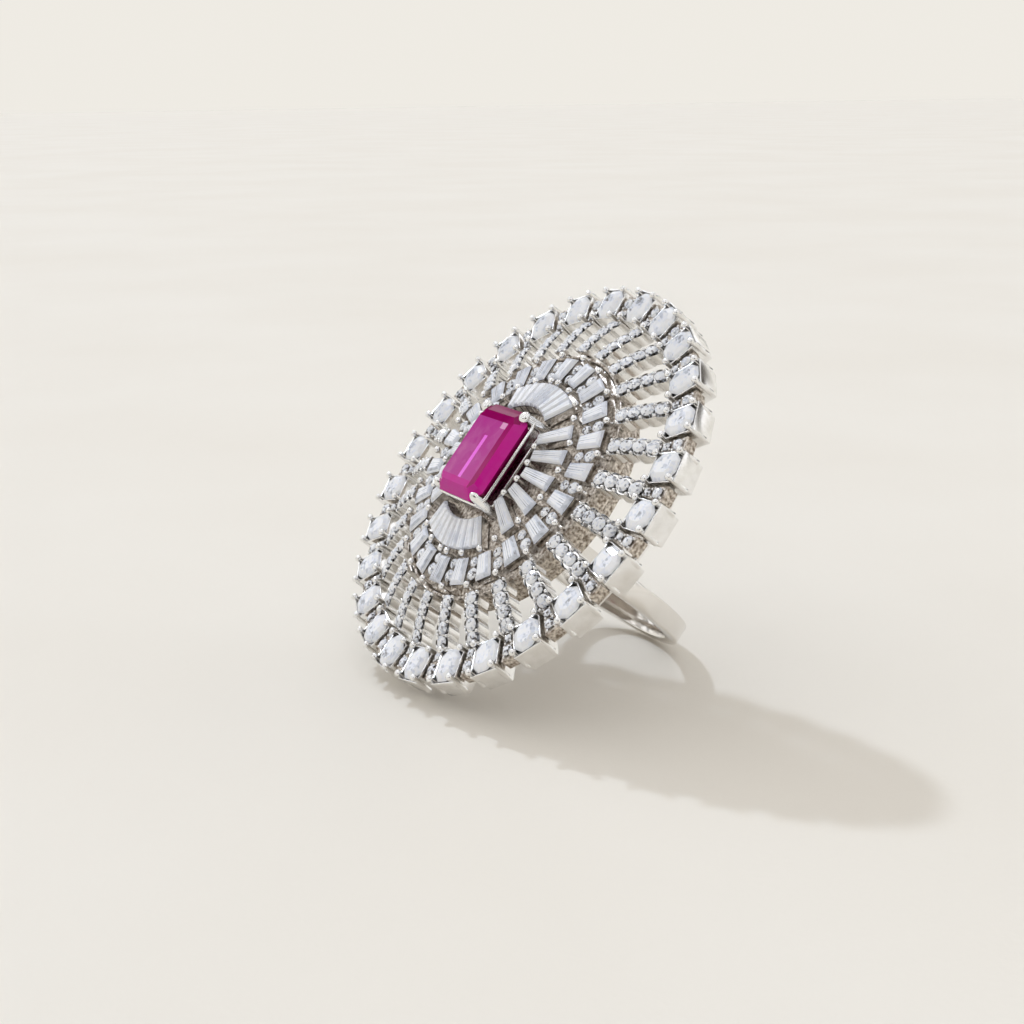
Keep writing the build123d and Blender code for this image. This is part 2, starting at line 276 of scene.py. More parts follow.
def makeFloor(values):
    floor = startPiece("floor", bpy.ops.mesh.primitive_grid_add, x_subdivisions=values["parts"],
                       y_subdivisions=values["parts"], size=values["size"], location=(0, 0, 0))
    material, nodes, links, shader = newMaterial("floorPaper", Roughness=values["roughness"])
    shader.inputs["Specular IOR Level"].default_value = values["shine"]
    place = nodes.new("ShaderNodeTexCoord")
    mottle = noiseOn(nodes, links, place, *values["mottle"])
    blend = rampOn(nodes, links, mottle, values["colourA"], values["colourB"])
    links.new(blend.outputs["Color"], shader.inputs["Base Color"])
    grain = noiseOn(nodes, links, place, *values["grain"])
    bumpOn(nodes, links, shader, grain, values["grainDepth"], values["grainStrength"])
    floor.data.materials.append(material)


def newMaterial(name, **constants):
    material = bpy.data.materials.new(name)
    material.use_nodes = True
    nodes, links = material.node_tree.nodes, material.node_tree.links
    shader = nodes["Principled BSDF"]
    for socket, value in constants.items():
        shader.inputs[socket].default_value = value
    return material, nodes, links, shader


def noiseOn(nodes, links, place, scale, detail):
    noise = nodes.new("ShaderNodeTexNoise")
    noise.inputs["Scale"].default_value = scale
    noise.inputs["Detail"].default_value = detail
    links.new(place.outputs["Object"], noise.inputs["Vector"])
    return noise.outputs["Fac"]


def rampOn(nodes, links, source, colourA, colourB, start=0.35, end=0.65):
    ramp = nodes.new("ShaderNodeValToRGB")
    ramp.color_ramp.elements[0].position = start
    ramp.color_ramp.elements[0].color = (*colourA, 1)
    ramp.color_ramp.elements[1].position = end
    ramp.color_ramp.elements[1].color = (*colourB, 1)
    links.new(source, ramp.inputs["Fac"])
    return ramp


def spanOn(nodes, links, source, low, high, start=0.3, end=0.7):
    # low up to start, high from end
    span = nodes.new("ShaderNodeMapRange")
    span.inputs["From Min"].default_value = start
    span.inputs["From Max"].default_value = end
    span.inputs["To Min"].default_value = low
    span.inputs["To Max"].default_value = high
    links.new(source, span.inputs["Value"])
    return span.outputs["Result"]


def mixOn(nodes, links, share, colour, source):
    mix = nodes.new("ShaderNodeMix")
    mix.data_type = "RGBA"
    mix.inputs["A"].default_value = (*colour, 1)
    links.new(share, mix.inputs["Factor"])
    links.new(source, mix.inputs["B"])
    return mix.outputs["Result"]


def sumOn(nodes, links, first, second):
    total = nodes.new("ShaderNodeMath")
    total.operation = "ADD"
    links.new(first, total.inputs[0])
    links.new(second, total.inputs[1])
    return total.outputs["Value"]


def bumpOn(nodes, links, shader, source, distance, strength):
    bump = nodes.new("ShaderNodeBump")
    bump.inputs["Distance"].default_value = distance
    bump.inputs["Strength"].default_value = strength
    links.new(source, bump.inputs["Height"])
    links.new(bump.outputs["Normal"], shader.inputs["Normal"])


# pale and deep are mixed by a noise: random wear on the setting and band metal; the cast metal's dark brown
# deep tone is painted shade, the shade in the gaps under the stones, speckled at random
metalValues = {
    "settingMetal": {"pale": (0.94, 0.94, 0.94), "deep": (0.84, 0.83, 0.81), "roughness": (0.1, 0.22),
                     "wearAndShadeScale": 900.0, "markScale": 5200.0, "markDepth": 0.00001},
    "castMetalPaintedShade": {"pale": (0.84, 0.78, 0.71), "deep": (0.24, 0.19, 0.145), "roughness": (0.35, 0.55),
                  "wearAndShadeScale": 3600.0, "markScale": 5200.0, "markDepth": 0.00005},
    "bandMetal": {"pale": (0.86, 0.84, 0.81), "deep": (0.8, 0.78, 0.75), "roughness": (0.12, 0.22),
                  "wearAndShadeScale": 260.0, "markScale": 2600.0, "markDepth": 0.000006},
}


wearAndShadeValues = {"wearAndShadeDetail": 3.0, "markDetail": 2.0, "markStrength": 0.35}


def whiteMetal(name, values):
    material, nodes, links, shader = newMaterial(name, Metallic=1.0)
    place = nodes.new("ShaderNodeTexCoord")
    # random wear, and on the cast metal also painted shade in its dark brown deep tone; the same noise sets
    # the roughness
    wearAndShade = noiseOn(nodes, links, place, values["wearAndShadeScale"], wearAndShadeValues["wearAndShadeDetail"])
    tone = rampOn(nodes, links, wearAndShade, values["deep"], values["pale"])
    links.new(tone.outputs["Color"], shader.inputs["Base Color"])
    smooth, rough = values["roughness"]
    links.new(spanOn(nodes, links, wearAndShade, rough, smooth), shader.inputs["Roughness"])
    marks = noiseOn(nodes, links, place, values["markScale"], wearAndShadeValues["markDetail"])
    bumpOn(nodes, links, shader, marks, values["markDepth"], wearAndShadeValues["markStrength"])
    return material


# each gem's ramp of painted light, shade and reflection, on the ruby over its own colour, runs from facet
# tone 0 to facet tone 1, as (tone, colour)
gemValues = {
    "colourlessGem": {"tones": ((0.0, (0.97, 0.98, 1.0)), (0.3, (0.86, 0.9, 1.0)), (0.55, (0.58, 0.62, 0.7)),
                                (0.78, (0.26, 0.25, 0.25)), (1.0, (0.05, 0.04, 0.03))),
                      "scale": 700.0, "spread": 0.5, "ior": 1.7, "transmission": 0.1,
                      "roughness": (0.02, 0.08), "sparkleScale": 3600.0, "sparkle": 0.14, "shine": 0.5},
    "rubyGem": {"tones": ((0.0, (0.16, 0.0, 0.05)), (0.2, (0.36, 0.0, 0.13)), (0.45, (0.62, 0.01, 0.3)),
                          (0.6, (0.52, 0.06, 0.33)), (0.8, (0.85, 0.42, 0.66)), (1.0, (1.0, 0.2, 0.9))),
                "scale": 420.0, "spread": 0.07, "ior": 1.35, "transmission": 0.12, "roughness": (0.02, 0.05),
                "sparkleScale": 1500.0, "sparkle": 0.02, "shine": 0.15},
}
gemValues["cushionGem"] = dict(gemValues["colourlessGem"], sparkleScale=4300.0, sparkle=0.5)
gemValues["sparklingGem"] = dict(gemValues["colourlessGem"], sparkleScale=5600.0, sparkle=1.25)


# where the patterns of every gem reach their ends
cellValues = {"patchDetail": 2.0, "patchSpan": (0.25, 0.75), "sparkleSpan": (0.2, 0.8)}


def gem(name, values):
    material, nodes, links, shader = newMaterial(name, IOR=values["ior"])
    shader.inputs["Transmission Weight"].default_value = values["transmission"]
    shader.inputs["Specular IOR Level"].default_value = values["shine"]
    place = nodes.new("ShaderNodeTexCoord")
    facet = nodes.new("ShaderNodeAttribute")
    facet.attribute_name = "paintedFacetLight"
    # patches of brighter and darker painted light; the same noise sets the roughness
    lightAndRoughPatches = noiseOn(nodes, links, place, values["scale"], cellValues["patchDetail"])
    half = values["spread"] / 2
    drift = spanOn(nodes, links, lightAndRoughPatches, -half, half, *cellValues["patchSpan"])
    toned = sumOn(nodes, links, facet.outputs["Fac"], drift)
    # painted glints: small cells of painted light and dark, as the facets below throw up
    cells = nodes.new("ShaderNodeTexVoronoi")
    cells.inputs["Scale"].default_value = values["sparkleScale"]
    links.new(place.outputs["Object"], cells.inputs["Vector"])
    half = values["sparkle"] / 2
    glitter = spanOn(nodes, links, cells.outputs["Color"], -half, half, *cellValues["sparkleSpan"])
    lit = sumOn(nodes, links, toned, glitter)
    (start, startColour), *between, (end, endColour) = values["tones"]
    ramp = rampOn(nodes, links, lit, startColour, endColour, start, end)
    for tone, colour in between:
        ramp.color_ramp.elements.new(tone).color = (*colour, 1)
    links.new(ramp.outputs["Color"], shader.inputs["Base Color"])
    links.new(spanOn(nodes, links, lightAndRoughPatches, *values["roughness"]), shader.inputs["Roughness"])
    return material


makeCamera(cameraPlace)
makeSun(lightValues)
makeStudio(studioValues)
makeFloor(floorValues)
bpy.context.scene.view_settings.view_transform = "Standard"
settingMetal = whiteMetal("settingMetal", metalValues["settingMetal"])
castMetalPaintedShade = whiteMetal("castMetalPaintedShade", metalValues["castMetalPaintedShade"])
bandMetal = whiteMetal("bandMetal", metalValues["bandMetal"])
colourlessGem = gem("colourlessGem", gemValues["colourlessGem"])
cushionGem = gem("cushionGem", gemValues["cushionGem"])
sparklingGem = gem("sparklingGem", gemValues["sparklingGem"])
rubyGem = gem("rubyGem", gemValues["rubyGem"])
print("stage and materials ready")


def cutFacet(radius, height, angle, rise):
    # grinds away what lies outside a plane that passes radius, height at that angle
    outward = Vector((cos(radians(angle)), sin(radians(angle)), 0))
    normal = outward * cos(rise) + Vector((0, 0, sin(rise)))
    bpy.ops.mesh.select_all(action="SELECT")
    bpy.ops.mesh.bisect(plane_co=outward * radius + Vector((0, 0, height)), plane_no=normal,
                        use_fill=True, clear_outer=True)


def cutStone(name, sides, profile):
    # sides are (angle, distance), the profile is (inset, height) from the culet to the table
    low, high = profile[0][1], profile[-1][1]
    reach = 4 * max(distance for _, distance in sides)
    blank = startPiece(name, bpy.ops.mesh.primitive_cube_add, size=1, location=(0, 0, (low + high) / 2),
                       scale=(reach, reach, high - low))
    applyPlace(blank)
    editPiece(blank)
    for angle, distance in sides:
        for (insetA, heightA), (insetB, heightB) in zip(profile, profile[1:]):
            rise = atan2(insetB - insetA, heightB - heightA)
            cutFacet(distance - insetA, heightA, angle, rise)
    toObjectMode()
    return blank


def splitTop(stone, cuts):
    # scores the table along (distance, angle) lines
    editPiece(stone)
    for distance, angle in cuts:
        across = Vector((cos(radians(angle)), sin(radians(angle)), 0))
        pickFaces(stone, lambda centre, normal: normal.z > 0.99)
        bpy.ops.mesh.bisect(plane_co=across * distance, plane_no=across)
    toObjectMode()


def paintFacetLight(stone, lightAt):
    # painted light: how much light each facet seems to give back, from 0 for bright to 1 for dark
    toObjectMode()
    tones = stone.data.attributes.new("paintedFacetLight", "FLOAT", "FACE")
    for facet in stone.data.polygons:
        tones.data[facet.index].value = lightAt(facet.center, facet.normal)


sparkleMix = {"alongX": 37.7, "alongY": 91.3, "alongZ": 17.9, "gain": 43.7}


def sparkle(centre, low, high):
    # an uneven value, always the same for one place
    mix = sparkleMix
    wave = sin(mix["alongX"] * centre.x + mix["alongY"] * centre.y + mix["alongZ"] * centre.z)
    return low + (high - low) * (wave * mix["gain"] % 1)


def cushionSides(halfX, halfY, corner, rounding=0.0):
    # four sides and four cut corners, and between them the rounding facets
    sides = [(0, halfX), (180, halfX), (90, halfY), (270, halfY)]
    diagonal = (halfX + halfY - corner) / sqrt(2)
    sides += [(angle, diagonal) for angle in (45, 135, 225, 315)]
    if rounding:
        for k in range(8):
            angle = 45 * k + 22.5
            turn = radians(angle)
            cornerX, cornerY = halfX * abs(cos(turn)), (halfY - corner) * abs(sin(turn))
            if abs(sin(turn)) > abs(cos(turn)):
                cornerX, cornerY = (halfX - corner) * abs(cos(turn)), halfY * abs(sin(turn))
            sides.append((angle, cornerX + cornerY - rounding))
    return sides


def taperedSides(length, innerWidth, outerWidth):
    flare = atan((outerWidth - innerWidth) / 2 / length)
    halfWidth = (innerWidth + outerWidth) / 4 * cos(flare)
    side = 90 + degrees(flare)
    return [(0, length / 2), (180, length / 2), (side, halfWidth), (-side, halfWidth)]


# lengths are shares of the diameter up to the culet, and of the radius after it
roundValues = {"facets": 8, "table": 0.16, "girdle": 0.05, "culet": 0.43,
               "crownInset": 0.46, "keelInset": 0.97, "starRadius": 0.62, "starHeight": 0.9, "starTilt": 14,
               "tableLines": ((0.1, 10), (-0.06, 70), (0.12, 130), (-0.2, 160)),
               "underShade": 0.85, "tones": (-0.25, 0.55)}


def cutRound(name, diameter):
    values, radius = roundValues, diameter / 2
    table, girdle, culet = (values[part] * diameter for part in ("table", "girdle", "culet"))
    pitch = 360 / values["facets"]
    blank = startPiece(name, bpy.ops.mesh.primitive_cylinder_add, vertices=2 * values["facets"],
                       radius=radius, depth=table + culet, location=(0, 0, (table - culet) / 2),
                       rotation=(0, 0, radians(pitch / 4)))
    applyPlace(blank)
    editPiece(blank)
    crown = atan2(values["crownInset"] * radius, table)
    pavilion = -atan2(values["keelInset"] * radius, culet - girdle)
    for k in range(values["facets"]):
        cutFacet(radius, 0, pitch * k, crown)
        cutFacet(radius, -girdle, pitch * k, pavilion)
    for k in range(values["facets"]):
        cutFacet(values["starRadius"] * radius, values["starHeight"] * table, pitch * (k + 0.5),
                 crown + radians(values["starTilt"]))
    splitTop(blank, [(share * radius, angle) for share, angle in values["tableLines"]])
    paintFacetLight(blank, roundFacetLight)
    return blank


def roundFacetLight(centre, normal):
    # painted light: bright and dark facets lie side by side, and the facets underneath are painted dark
    return roundValues["underShade"] if normal.z < 0 else sparkle(centre, *roundValues["tones"])


rubyValues = {"height": 4.3, "halfX": 4.5, "halfY": 3.8, "corner": 1.1,
              "profile": [(3.3, -3.15), (2.2, -2.35), (1.2, -1.6), (0.45, -0.75), (0, -0.12), (0, 0),
                          (0.42, 0.36), (0.9, 0.68)],
              "linesAcross": (-3.0, 1.3, 2.3, 2.9), "linesAlong": (-2.15, -1.3, -0.35, 0.15),
              "crownEnd": -3.4, "crownSide": -2.9, "steep": 0.75}
rubyPaintedLight = {"under": 0.05, "crown": 0.1, "crownEnd": 0.52, "crownSide": 0.46, "crownSideLow": 0.25,
             "farEnd": 0.15, "nearSide": 0.2, "corner": 0.8, "line": 1.0, "nearEnd": 0.5, "table": 0.6}


def rubyPane(centre, normal):
    # painted reflections: the steps below show through the table as long panes of painted light and shade,
    # and one painted bright line
    x, y = centre.x, centre.y
    nearEnd, lineEnd, cornerFrom, farEnd = rubyValues["linesAcross"]
    nearSide, cornerTo, lineLow, lineHigh = rubyValues["linesAlong"]
    if normal.z < 0.1:
        return "under"
    if normal.z < 0.99:
        if y < rubyValues["crownSide"]:
            return "crownSide" if normal.z > rubyValues["steep"] else "crownSideLow"
        return "crownEnd" if x < rubyValues["crownEnd"] else "crown"
    if x > farEnd:
        return "farEnd"
    if y < nearSide:
        return "nearSide"
    if x > cornerFrom and y < cornerTo:
        return "corner"
    if nearEnd < x < lineEnd and lineLow < y < lineHigh:
        return "line"
    return "nearEnd" if x < nearEnd else "table"


def makeRuby(values):
    sides = cushionSides(values["halfX"], values["halfY"], values["corner"])
    ruby = cutStone("ruby_stone", sides, values["profile"])
    lines = [(line, 0) for line in values["linesAcross"]] + [(line, 90) for line in values["linesAlong"]]
    splitTop(ruby, lines)
    paintFacetLight(ruby, lambda centre, normal: rubyPaintedLight[rubyPane(centre, normal)])
    ruby.location.z = values["height"]
    layDown(ruby, rubyGem, "ruby_gem", "ruby")


basketValues = {"postAt": (4.27, 3.58), "postRadius": 0.44, "foot": 1.7, "leanIn": 0.3,
                "postTop": 0.15, "leanFrom": 0.1,
                "rails": ((4.62, 3.92, 3.75), (4.45, 3.75, 2.6)), "railCorner": 0.85, "railWire": 0.17,
                "roundHead": ((0.1, 1.25), (0.18, 1.3), (0.17, 1.05), (0.1, 0.7), (0.04, 0.3)),
                "pointedHead": ((0.12, 0.92), (0.14, 0.74), (0.14, 0.5), (0.08, 0.26))}


def roundPost(name, radius, low, high, head):
    # a stem with a domed head: each head step is (rise, share of the radius)
    post = startPiece(name, bpy.ops.mesh.primitive_cylinder_add, vertices=16, radius=radius,
                      depth=high - low, location=(0, 0, (low + high) / 2))
    applyPlace(post)
    editPiece(post)
    pickFaces(post, lambda centre, normal: normal.z > 0.9)
    before = 1.0
    for rise, share in head:
        bpy.ops.mesh.extrude_region_move(TRANSFORM_OT_translate={"value": (0, 0, rise)})
        bpy.ops.transform.resize(value=(share / before, share / before, 1), center_override=(0, 0, 0))
        before = share
    toObjectMode()
    return post


def wireFrame(name, halfX, halfY, corner, height, wire):
    # an eight-sided hoop of round wire
    frameWire = startPiece(name, bpy.ops.mesh.primitive_plane_add, size=1, location=(0, 0, height))
    frameWire.scale = (2 * halfX, 2 * halfY, 1)
    applyPlace(frameWire)
    editPiece(frameWire)
    bpy.ops.mesh.select_all(action="SELECT")
    bpy.ops.mesh.bevel(offset=corner, affect="VERTICES", segments=3)
    bpy.ops.mesh.select_all(action="SELECT")
    bpy.ops.mesh.delete(type="ONLY_FACE")
    selectOnly(frameWire)
    bpy.ops.object.convert(target="CURVE")
    wireCurve = bpy.context.object
    wireCurve.data.bevel_depth = wire
    wireCurve.data.bevel_resolution = 3
    bpy.ops.object.convert(target="MESH")
    return bpy.context.object


def makeBasket(values):
    parts = []
    for number, (halfX, halfY, height) in enumerate(values["rails"]):
        parts.append(wireFrame(f"basketRail{number}", halfX - values["railWire"], halfY - values["railWire"],
                               values["railCorner"], height, values["railWire"]))
    girdle = rubyValues["height"]
    for x in (-1, 1):
        for y in (-1, 1):
            head = values["roundHead" if x > 0 else "pointedHead"]
            post = roundPost("post", values["postRadius"], values["foot"], girdle + values["postTop"], head)
            editPiece(post)
            pickVertices(post, lambda place: place.z > girdle + values["leanFrom"])
            bpy.ops.transform.translate(value=(-x * values["leanIn"], -y * values["leanIn"], 0))
            toObjectMode()
            post.location = (x * values["postAt"][0], y * values["postAt"][1], 0)
            applyPlace(post)
            parts.append(post)
    basket = joinPieces("ruby_basket_wire", parts)
    smoothShade(basket, 50)
    layDown(basket, settingMetal, "setting_metal", "ruby_basket")


makeRuby(rubyValues)
makeBasket(basketValues)
print("ruby and basket ready")


def turnedRing(name, inner, outer, low, high, soft, vertices=160):
    ring = startPiece(name, bpy.ops.mesh.primitive_cylinder_add, vertices=vertices, radius=outer,
                      depth=high - low, end_fill_type="NOTHING", location=(0, 0, (low + high) / 2))
    applyPlace(ring)
    applyModifier(ring, "SOLIDIFY", thickness=outer - inner, offset=-1)
    softenEdges(ring, soft)
    smoothShade(ring)
    return ring


def tierPlate(name, edge, thickness, soft=0.08):
    # through (radius, height) points from the inside out; a flat first part is a very low cone
    (firstRadius, firstHeight), (secondRadius, secondHeight) = edge[:2]
    plate = startPiece(name, bpy.ops.mesh.primitive_cone_add, vertices=144, radius1=secondRadius,
                       radius2=firstRadius, depth=firstHeight - secondHeight + 0.001,
                       end_fill_type="NOTHING", location=(0, 0, (firstHeight + secondHeight) / 2))
    applyPlace(plate)
    if len(edge) > 2:
        editPiece(plate)
        pickVertices(plate, lambda place: place.xy.length > (firstRadius + secondRadius) / 2)
        nextRadius, nextHeight = edge[2]
        bpy.ops.mesh.select_mode(type="EDGE")
        bpy.ops.mesh.extrude_region_move(TRANSFORM_OT_translate={"value": (0, 0, nextHeight - secondHeight)})
        grow = nextRadius / secondRadius
        bpy.ops.transform.resize(value=(grow, grow, 1), center_override=(0, 0, 0))
        toObjectMode()
    applyModifier(plate, "SOLIDIFY", thickness=thickness, offset=-1)
    softenEdges(plate, soft)
    smoothShade(plate)
    return plate


firstTier = {"radii": (5.75, 8.5), "girdle": (2.75, 2.05), "fanCount": 9, "fanPitch": 7.4, "fanGap": 0.12,
             "sideRadii": (5.05, 8.45), "sideWidths": (1.0, 1.45), "sideAngles": (54, 72, 90, 108, 126),
             "plate": (1.0, 6.0, 8.9), "seatDrop": 0.95, "plateThickness": 0.5,
             "fanClaws": 8.8, "sideClaws": (5.15, 8.55)}


def tierHeight(tier, radius):
    share = (radius - tier["radii"][0]) / (tier["radii"][1] - tier["radii"][0])
    return tier["girdle"][0] + (tier["girdle"][1] - tier["girdle"][0]) * share


def tierSlope(tier):
    return degrees(atan2(tier["girdle"][0] - tier["girdle"][1], tier["radii"][1] - tier["radii"][0]))


# insets of the step and the table are shares of the stone's inner width, lines of its middle width
baguetteValues = {"keel": 0.8, "keelHalf": 0.1, "knee": 0.5, "kneeShare": 0.5, "girdle": 0.1,
                  "step": (0.09, 0.19), "table": (0.24, 0.32),
                  "lines": (-0.2, -0.16, -0.08, -0.03, 0.08, 0.12, 0.2)}


def baguetteProfile(innerWidth):
    values = baguetteValues
    keelInset = innerWidth / 2 - values["keelHalf"]
    crown = [(share * innerWidth, height) for share, height in (values["step"], values["table"])]
    return [(keelInset, -values["keel"]), (values["kneeShare"] * keelInset, -values["knee"]),
            (0, -values["girdle"]), (0, 0), *crown]


def baguette(name, length, innerWidth, outerWidth):
    stone = cutStone(name, taperedSides(length, innerWidth, outerWidth), baguetteProfile(innerWidth))
    middle = (innerWidth + outerWidth) / 2
    splitTop(stone, [(share * middle, 90) for share in baguetteValues["lines"]])
    paintFacetLight(stone, lambda centre, normal: baguetteFacetLight(centre.y / middle, normal))
    return stone


# crown tones of painted light are from the near long side to the far one
baguettePaintedLight = {"under": 0.85, "ends": 0.3, "crown": (0.05, 0.3, 0.48, 0.1), "crownStep": 0.36,
                 "panes": (0.08, 0.42, 0.0, 0.6, 0.12, 0.5, 0.02, 0.3)}


def baguetteFacetLight(across, normal):
    # painted reflections: long thin lines run along the stone between wide pale panes
    values, step = baguettePaintedLight, baguettePaintedLight["crownStep"]
    if normal.z < 0.1:
        return values["under"]
    if abs(normal.x) > 0.3:
        return values["ends"]
    if normal.z < 0.99:
        return values["crown"][(across >= -step) + (across > 0) + (across > step)]
    return values["panes"][len([line for line in baguetteValues["lines"] if line < across])]


seatValues = {"depth": 0.8, "drop": 0.04, "rim": 0.07, "floor": 0.12, "soft": 0.025}


def baguetteSeat(name, length, innerWidth, outerWidth):
    # an open trough under the stone, its rim just below the girdle
    values, depth = seatValues, seatValues["depth"]
    seat = startPiece(name, bpy.ops.mesh.primitive_cube_add, size=1,
                      location=(0, 0, -values["drop"] - depth / 2), scale=(length, innerWidth, depth))
    applyPlace(seat)
    editPiece(seat)
    pickFaces(seat, lambda centre, normal: normal.x > 0.9)
    bpy.ops.transform.resize(value=(1, outerWidth / innerWidth, 1), center_override=(0, 0, 0))
    pickFaces(seat, lambda centre, normal: normal.z > 0.9)
    bpy.ops.mesh.inset(thickness=values["rim"], depth=0)
    bpy.ops.mesh.extrude_region_move(TRANSFORM_OT_translate={"value": (0, 0, values["floor"] - depth)})
    toObjectMode()
    softenEdges(seat, values["soft"], 1)
    return seat


def makeFirstTier(tier):
    slope = tierSlope(tier)
    pitchWidth = 2 * tan(radians(tier["fanPitch"] / 2))
    inner, outer = tier["radii"]
    size = (outer - inner, inner * pitchWidth - tier["fanGap"], outer * pitchWidth - tier["fanGap"])
    middle = (inner + outer) / 2
    angles = [(k - (tier["fanCount"] - 1) / 2) * tier["fanPitch"] for k in range(tier["fanCount"])]
    seatPlaces = []
    for name, start, node in (("upper_fan_stones", 0, "fan_baguettes_upper"),
                              ("lower_fan_stones", 180, "fan_baguettes_lower")):
        places = [polar(middle, start + angle, tierHeight(tier, middle), slope) for angle in angles]
        fan = repeatPiece(name, baguette("fanStone", *size), places)
        layDown(fan, colourlessGem, "colourless_gem", node)
        seatPlaces += places
    fanSeats = repeatPiece("fan_seats", baguetteSeat("fanSeat", *size), seatPlaces)
    sideInner, sideOuter = tier["sideRadii"]
    sideSize = (sideOuter - sideInner, *tier["sideWidths"])
    middle = (sideInner + sideOuter) / 2
    height = tierHeight(tier, middle)
    seatPlaces = []
    for name, side, node in (("near_side_stones", -1, "side_baguettes_near"),
                             ("far_side_stones", 1, "side_baguettes_far")):
        places = [polar(middle, side * angle, height, slope) for angle in tier["sideAngles"]]
        stones = repeatPiece(name, baguette("sideStone", *sideSize), places)
        layDown(stones, colourlessGem, "colourless_gem", node)
        seatPlaces += places
    sideSeats = repeatPiece("side_seats", baguetteSeat("sideSeat", *sideSize), seatPlaces)
    for seats in (fanSeats, sideSeats):
        layDown(seats, settingMetal, "setting_metal")

    def seatAt(radius):
        return tierHeight(tier, max(radius, tier["plate"][1])) - tier["seatDrop"]

    # the plate reaches in under the ruby, and its dark cast metal is partly painted shade there
    edge = [(radius, seatAt(radius)) for radius in tier["plate"]]
    plate = tierPlate("first_plate", edge, tier["plateThickness"])
    layDown(plate, castMetalPaintedShade, "setting_metal", "first_tier_plate")
    claws = repeatPiece("first_tier_claws", clawPost("claw"), firstClawPlaces(tier))
    layDown(claws, settingMetal, "setting_metal")


# the ball is turned through widths at these shares of its radius above and below its middle
clawValues = {"radius": 0.17, "ball": 0.32, "drop": 1.0, "rise": -0.1,
              "ballSteps": (-0.5, 0, 0.42, 0.76, 0.96)}


def clawPost(name):
    # a short wire that ends in a rounded head, its height 0 at the girdle
    values = clawValues
    head, below = [], -cos(asin(values["radius"] / values["ball"]))
    for up in values["ballSteps"]:
        width = sqrt(1 - up * up) * values["ball"] / values["radius"]
        head.append(((up - below) * values["ball"], width))
        below = up
    post = roundPost(name, values["radius"], -values["drop"], values["rise"], head)
    smoothShade(post, 60)
    return post


def firstClawPlaces(tier):
    # at every other seam of the fans, and at both ends of every seam of the side stones
    seams = [side * (2 * k + 0.5) * tier["fanPitch"] for k in range(3) for side in (-1, 1)]
    spots = [(tier["fanClaws"], end + angle) for end in (0, 180) for angle in seams]
    angles, (inner, outer) = tier["sideAngles"], tier["sideClaws"]
    half = (angles[1] - angles[0]) / 2
    for side in (1, -1):
        for angle in angles[:-1]:
            spots.append((inner, side * (angle + half)))
            spots.append((outer, side * (angle + half)))
        spots.append((outer, side * (angles[0] - half)))
        spots.append((outer, side * (angles[-1] + half)))
    return [polar(radius, angle, tierHeight(tier, radius)) for radius, angle in spots]


makeFirstTier(firstTier)
print("first tier ready")


secondTier = {"count": 22, "turn": -5.1, "radii": (9.15, 11.6), "girdle": (1.85, 1.5), "widths": (1.35, 1.75),
              "rounds": ((9.62, 0.9), (10.72, 1.1)), "roundDrop": 0.1, "plate": (8.95, 12.05),
              "seatDrop": 0.95, "plateThickness": 0.5, "clawRadius": 11.85}


def bead(name, radius):
    # a ball drawn down into a peg
    ball = startPiece(name, bpy.ops.mesh.primitive_uv_sphere_add, segments=8, ring_count=5, radius=radius)
    editPiece(ball)
    pickFaces(ball, lambda centre, normal: normal.z < -0.3)
    bpy.ops.transform.translate(value=(0, 0, -radius))
    toObjectMode()
    smoothShade(ball, 180)
    return ball


def makeSecondTier(tier):
    seams = [k * 360 / tier["count"] + tier["turn"] for k in range(tier["count"])]
    slope = tierSlope(tier)
    inner, outer = tier["radii"]
    middle = (inner + outer) / 2
    size = (outer - inner, *tier["widths"])
    places = [polar(middle, seam + 180 / tier["count"], tierHeight(tier, middle), slope) for seam in seams]
    stones = repeatPiece("second_tier_stones", baguette("secondStone", *size), places)
    layDown(stones, colourlessGem, "colourless_gem", "second_tier_baguettes")
    seats = repeatPiece("second_tier_seats", baguetteSeat("secondSeat", *size), places)
    layDown(seats, settingMetal, "setting_metal")
    rounds = []
    for radius, diameter in tier["rounds"]:
        height = tierHeight(tier, radius) - tier["roundDrop"]
        spots = [polar(radius, seam, height, slope) for seam in seams]
        rounds.append(repeatPiece("rounds", cutRound("secondRound", diameter), spots))
    brilliants = joinPieces("second_tier_brilliants", rounds)
    layDown(brilliants, sparklingGem, "colourless_gem", "second_tier_rounds")
    edge = [(radius, tierHeight(tier, radius) - tier["seatDrop"]) for radius in tier["plate"]]
    plate = tierPlate("second_plate", edge, tier["plateThickness"])
    layDown(plate, castMetalPaintedShade, "setting_metal", "second_tier_plate")
    clawSpots = [polar(tier["clawRadius"], seam, tier["girdle"][1]) for seam in seams]
    claws = repeatPiece("second_tier_claws", clawPost("claw"), clawSpots)
    layDown(claws, settingMetal, "setting_metal")
    fins = repeatPiece("second_tier_fins", clawFin("fin", finValues), [polar(0, seam) for seam in seams])
    layDown(fins, settingMetal, "setting_metal")


finValues = {"radius": 11.98, "deep": 0.42, "thick": 0.16, "top": 1.2, "foot": -0.9, "flare": 0.3,
             "headScale": (0.7, 1.5, 1), "soft": 0.04}


def clawFin(name, values):
    # the thin stem that carries a claw down past the plate's edge
    fin = startPiece(name, bpy.ops.mesh.primitive_cube_add, size=1,
                     location=(values["radius"], 0, (values["top"] + values["foot"]) / 2),
                     scale=(values["deep"], values["thick"], values["top"] - values["foot"]))
    applyPlace(fin)
    editPiece(fin)
    pickFaces(fin, lambda centre, normal: normal.z > 0.9)
    bpy.ops.transform.resize(value=values["headScale"], center_override=(values["radius"], 0, 0))
    pickFaces(fin, lambda centre, normal: normal.z < -0.9)
    bpy.ops.transform.translate(value=(-values["flare"], 0, 0))
    toObjectMode()
    softenEdges(fin, values["soft"])
    return fin


makeSecondTier(secondTier)
print("second tier ready")


